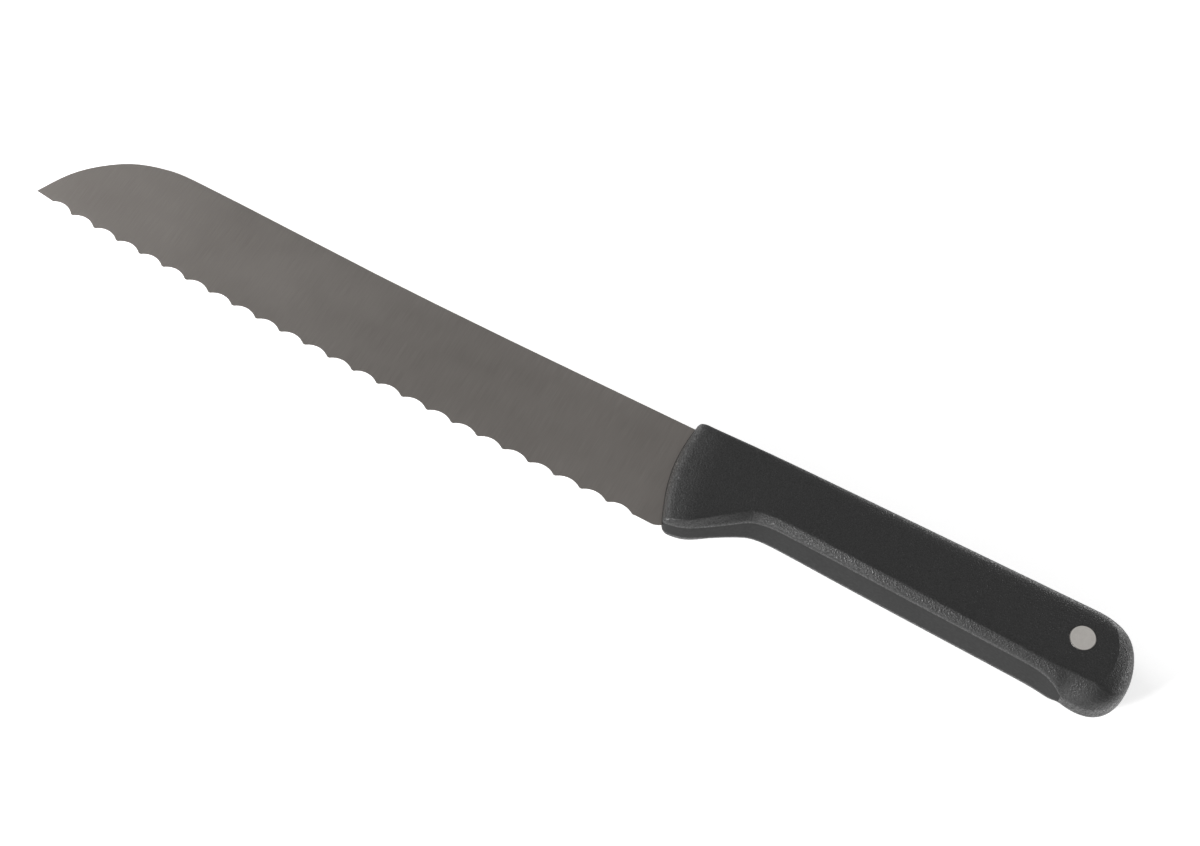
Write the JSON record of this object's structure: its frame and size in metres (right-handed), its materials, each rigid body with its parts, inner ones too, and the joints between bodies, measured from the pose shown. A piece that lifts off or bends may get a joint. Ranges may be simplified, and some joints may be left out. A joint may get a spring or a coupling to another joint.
{
  "type": "bread knife",
  "caption": "Bread knife: long scalloped steel blade with a curved-down point, and a black moulded handle with a smooth grip strip and a flush rivet.",
  "frame": {"origin": "middle of the bounding box in X and Y, at the underside in Z: the knife lies on one cheek of its handle", "axes": "+X from the point of the blade to the butt of the handle, +Y from the cutting edge to the spine, +Z across the blade, out of the flat side that carries no grind"},
  "size_m": [0.323, 0.0318, 0.0178],
  "materials": {
    "blade_steel": "satin",
    "handle_textured": "fine spark texture",
    "handle_smooth": "smooth satin",
    "rivet_metal": "satin"
  },
  "bodies": {
    "root": {"blade": "blade_steel", "handle_shell": "handle_textured", "grip_strip": "handle_smooth", "rivet_socket": "rivet_metal", "rivet_post": "rivet_metal"}
  },
  "joints": []
}
